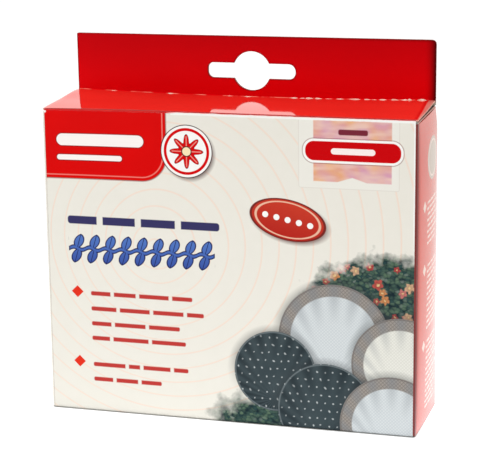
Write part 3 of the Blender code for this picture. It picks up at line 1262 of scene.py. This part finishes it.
def side_print(name, mirrored=False):
    """The side panels: red, with diamonds, rows of bars and a pale oval. u runs back from the front."""
    ink = Ink(name)
    ink.print_coordinates()
    u = DEPTH_MM - ink.u if mirrored else ink.u
    v = ink.v
    tone = ink.noise(0.06, 1.0, z=3.0)
    colour = ink.mix(SIDE_RED, SIDE_RED_DEEP, tone)
    oval = ink.ellipse(u - 23.0, v - 93.5, 9.5, 7.4)
    colour = ink.paint(colour, SIDE_GREY, oval, 0.5)
    colour = ink.paint(colour, SIDE_WHITE, abs(oval + 1.3) - 0.3, 0.3)
    # Top of each block of rows, and how many rows
    blocks = ((80.5, 8), (58.5, 12), (31.5, 13))
    pitch = 2.0
    for top, rows in blocks:
        across = abs(u - 9.0) / 2.1 + abs(v - (top - 1.6)) / 2.1
        colour = ink.paint(colour, SIDE_WHITE, (across - 1.0) * 1.5)
        row = abs((top - v) % pitch - pitch / 2) - 0.42
        number = ink.math("FLOOR", (top - v) / pitch)
        ragged = ink.math("FRACT", ink.math("SINE", number * 12.9 + top) * 43.7) * 6.0
        block = ink.most(abs(v - (top - pitch * rows / 2)) - pitch * rows / 2, 12.5 - u)
        block = ink.most(block, u - 33.5 + ragged)
        bars = 0.5 - abs((u + number * 2.7) % 5.3 - 2.65)
        colour = ink.paint(colour, SIDE_WHITE, ink.most(ink.most(row, block), bars), 0.25)
    # Painted shade: darker over the first few millimetres back from the front crease, and on the right
    # side a dark line on the crease itself.
    fading = ink.ramp(u, -0.30, 1.05)
    colour = ink.mix(colour, SIDE_CREASE_SHADE, fading * 0.75)
    if mirrored:
        colour = ink.paint(colour, PAPER, u - 0.15, 0.3)
    else:
        colour = ink.paint(colour, SIDE_CREASE_SHADE, abs(u - 0.3) - 0.95, 0.5)
    # A ragged pale line along the back crease: a painted highlight.
    highlight_ragging = ink.noise(0.7, 3.0, z=8.0) * 2.0 - 1.0
    worn = abs(u - DEPTH_MM) + highlight_ragging * 0.8 - 0.1
    colour = ink.mix(colour, SIDE_WHITE, ink.cover(worn, 0.4) * 0.5)
    ink.bump(wave_height(ink, 20.0), 0.25, 0.0004)
    return ink.finish(colour=colour, roughness=0.10, ior=1.45)


def back_print(name):
    """The back panel and the bottom: plain paper, with a red band over the header."""
    ink = Ink(name)
    ink.print_coordinates()
    mottle = ink.noise(0.25, 2.0, z=1.0)
    colour = ink.mix(PAPER, printed(236, 234, 226), mottle)
    x, y = ink.u - 66.0, ink.v - 58.0
    radius = ink.length(x, y) - x * 0.05 - y * 0.04
    colour = ink.paint(colour, RING, abs(radius % 6.4 - 3.2) - 0.24, 0.35)
    panel = ink.slab(x, y, 52.0, 36.0, 4.0)
    colour = ink.paint(colour, printed(244, 243, 238), panel)
    colour = ink.paint(colour, RED, abs(panel) - 0.3)
    for row in range(9):
        middle = 84.0 - row * 6.5
        last = 104.0 if row % 3 != 2 else 74.0
        bars = bar_row(ink, 22.0, last, middle, 1.6, 6 if row % 3 != 2 else 4, 1.5, 40 + row)
        colour = ink.paint(colour, BAR_RED if row % 3 else NAVY, bars, 0.3)
    band = HEIGHT_MM - 3.0 - ink.v
    colour = ink.paint(colour, HEADER_RED, band, 0.2)
    ink.bump(wave_height(ink, 40.0), 0.25, 0.0004)
    return ink.finish(colour=colour, roughness=0.3, ior=1.3)


def lid_print():
    ink = Ink("lid_print")
    ink.print_coordinates()
    tone = ink.noise(0.05, 1.0, z=3.0)
    colour = ink.mix(LID_RED, LID_RED_DEEP, tone)
    side = WIDTH_MM / 2 - abs(ink.u - WIDTH_MM / 2)
    specks = ink.noise(0.9, 3.0, z=2.0)
    on_right = ink.math("GREATER_THAN", ink.u, WIDTH_MM / 2)
    # At the lid's right end, a pink band that widens towards the back with a deeper red band inside it: a
    # painted highlight and painted shade of the edge's roll.
    inner = ink.v * 0.055 + 0.25
    roll_shade = ink.cover(abs(side - inner - 0.6) - 0.45, 0.8) * on_right
    colour = ink.mix(colour, (0.62, 0.004, 0.006), roll_shade * 0.75)
    stripes = ink.noise(1.4, 2.0, x=side, y=ink.v * 0.04, z=6.0)
    pink = ink.mix(printed(216, 84, 74), printed(244, 184, 170), stripes)
    colour = ink.mix(colour, pink, ink.cover(side - inner, 0.35) * on_right * 0.9)
    # A thin band at each end: at the right the pale cut edge with a painted highlight on it, at the left a
    # brown line of painted shade.
    worn = side - 0.12 + (specks - 0.5) * 0.5
    rim = ink.mix(printed(150, 100, 84), printed(240, 190, 176), on_right)
    colour = ink.mix(colour, rim, ink.cover(worn, 0.3) * 0.85)
    ink.bump(ink.noise(0.02, 1.0, z=12.0), 0.2, 0.0004)
    return ink.finish(colour=colour, roughness=0.06, ior=1.5)


def lid_crease_print():
    """The fold along the lid's front: a deeper red line, then the front panel's white margin."""
    ink = Ink("lid_crease_print")
    ink.print_coordinates()
    line = abs(ink.v - 0.48) - 0.17
    red = ink.paint(LID_RED, (0.30, 0.004, 0.004), line, 0.2)
    specks = ink.noise(0.3, 3.0, y=0.0, z=2.0)
    print_edge = ink.v - 0.22 - (specks - 0.5) * 0.25
    past_tab = ink.ramp(ink.u - 47.0, 0.3, 0.5)
    below = ink.mix(printed(206, 16, 22), WHITE, past_tab)
    colour = ink.paint(red, below, print_edge, 0.12)
    return ink.finish(colour=colour, roughness=0.12, ior=1.4)


def header_print():
    ink = Ink("header_print")
    ink.print_coordinates()
    # Lighter towards the foot, darker towards the top: painted light.
    tall = ink.share(ink.v, HEADER_MM)
    colour = ink.mix(HEADER_RED_LIT_LOW, HEADER_RED, tall)
    tone = ink.noise(0.05, 1.0, z=5.0)
    colour = ink.mix(colour, (0.48, 0.0, 0.003), tone * 0.3)
    # Darker along the top edge, down the left edge and towards the right end: painted shade.
    top = ink.ramp(ink.v - HEADER_MM, 0.8, 1.0)
    colour = ink.mix(colour, HEADER_EDGE_SHADE, top * top * 0.75)
    colour = ink.mix(colour, HEADER_EDGE_SHADE, ink.cover(ink.u - 0.5, 0.6) * 0.7)
    right = ink.ramp(ink.u - WIDTH_MM, 0.24, 1.05)
    colour = ink.mix(colour, HEADER_EDGE_SHADE, right * right)
    gaps = ink.noise(0.10, 3.0, y=0.0, z=31.0)
    torn = ink.most(abs(ink.v + 0.50) - 0.16, 0.52 - gaps)
    colour = ink.mix(colour, (0.95, 0.30, 0.22), ink.cover(torn, 0.08) * 0.9)
    slot_x, slot_y = ink.u - WIDTH_MM / 2, ink.v - SLOT_ABOVE_LID / MM
    bar = ink.slab(slot_x, slot_y, SLOT_LENGTH / MM / 2, SLOT_HEIGHT / MM / 2, SLOT_LEFT_RADIUS / MM)
    slot = ink.least(bar, ink.length(slot_x, slot_y) - EYE_RADIUS / MM)
    # A dark outline round the slot: painted shade.
    colour = ink.mix(colour, HEADER_EDGE_SHADE, ink.cover(slot - 0.25, 0.6) * 0.55)
    ink.bump(wave_height(ink, 60.0), 0.2, 0.0004)
    return ink.finish(colour=colour, roughness=0.3, ior=1.12, shine=0.25)


def flap_crease_print():
    """The fold between a side panel and its dust flap: the red print ends at the fold, whose upper part is
    dark with painted shade from the gap under the lid.
    """
    ink = Ink("flap_crease_print")
    ink.print_coordinates()
    specks = ink.noise(0.6, 3.0, z=4.0)
    colour = ink.paint(SIDE_RED, printed(196, 166, 154), abs(ink.u - 0.16) - 0.12, 0.1)
    # Dark over the fold's upper part: painted shade under the lid's edge.
    inner = 0.30 - ink.u + (specks - 0.5) * 0.1
    colour = ink.paint(colour, (0.030, 0.012, 0.010), inner, 0.1)
    return ink.finish(colour=colour, roughness=0.6, ior=1.3)


def torn_board():
    """Torn fibres of the perforation, pinkish where ink has soaked in."""
    ink = Ink("torn_board")
    x, y, z = (field / MM for field in ink.object_place())
    soak = ink.noise(0.7, 3.0, x=x, y=y, z=z)
    soaked = ink.ramp(soak, 3.0, -1.2)
    pale = ink.mix((0.98, 0.86, 0.74), (0.90, 0.38, 0.28), soaked)
    ink.bump(ink.noise(3.0, 3.0, x=x, y=y, z=z * 3.0), 0.5, 0.0001)
    return ink.finish(colour=pale, roughness=0.9, shine=0.2)


def raw_board(name, colour, seed):
    """Unprinted board: warm grey-white pulp with fibres and specks."""
    ink = Ink(name)
    x, y, z = (field / MM for field in ink.object_place())
    broad = ink.noise(0.2, 3.0, x=x, y=y, z=z)
    fibre = ink.noise(2.4, 3.0, x=x, y=y * 1.4, z=z * 0.5)
    speck = ink.noise(3.5, 1.0, x=x + seed, y=y, z=z)
    under = ink.mix(tuple(c * 0.86 for c in colour), colour, broad)
    under = ink.mix(under, tuple(min(c * 1.12, 0.9) for c in colour), fibre)
    dark = ink.ramp(speck, 9.0, -6.2)
    under = ink.mix(under, tuple(c * 0.62 for c in colour), dark)
    ink.bump(fibre + speck * 0.5, 0.3, 0.00005)
    return ink.finish(colour=under, roughness=0.85, shine=0.3)


def dress_carton():
    raw = raw_board("raw_board", (0.66, 0.62, 0.54), 3.0)
    cut = raw_board("cut_edge", (0.76, 0.74, 0.68), 9.0)
    # Dark red-brown cut edges of the header and the right side panel: painted shade.
    shaded_red_cut = raw_board("shaded_header_edge", (0.20, 0.022, 0.016), 5.0)
    side = side_print("side_print")
    left_side = side_print("left_side_print", mirrored=True)
    back = back_print("back_print")
    lid_red = lid_print()
    panel = make_front_panel([front_print(), raw, cut])
    bottom = make_bottom_flap([back, raw, cut])
    wrap = make_wrap([side, back, left_side, back, raw, shaded_red_cut, cut, cut, shaded_red_cut])
    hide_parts("carton_body")
    ply = make_header_ply([header_print(), raw, shaded_red_cut])
    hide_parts("header_front_ply")
    lid = make_lid([lid_red, raw, raw_board("lid_edge", (0.70, 0.36, 0.30), 7.0)])
    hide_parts("lid_panel")
    crease = make_lid_crease([lid_crease_print(), raw, cut])
    flap_red = flap_crease_print()
    make_torn_perforation(torn_board())
    for name, sign in (("dust_flap_left", -1), ("dust_flap_right", 1)):
        flap = make_dust_flap([raw, raw, cut], name, sign)
        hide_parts(name)
        make_flap_crease([flap_red, raw, cut], name, sign)


def main():
    bpy.context.scene.view_settings.view_transform = "Standard"
    make_camera()
    make_world()
    make_sun("overhead", SUN_STRENGTH, SUN_AZIMUTH, SUN_ELEVATION, SUN_ANGLE)
    make_fill(FILL_PLACE, FILL_AIM, FILL_SIZE, FILL_POWER)
    make_floor(6.0)
    dress_carton()


main()
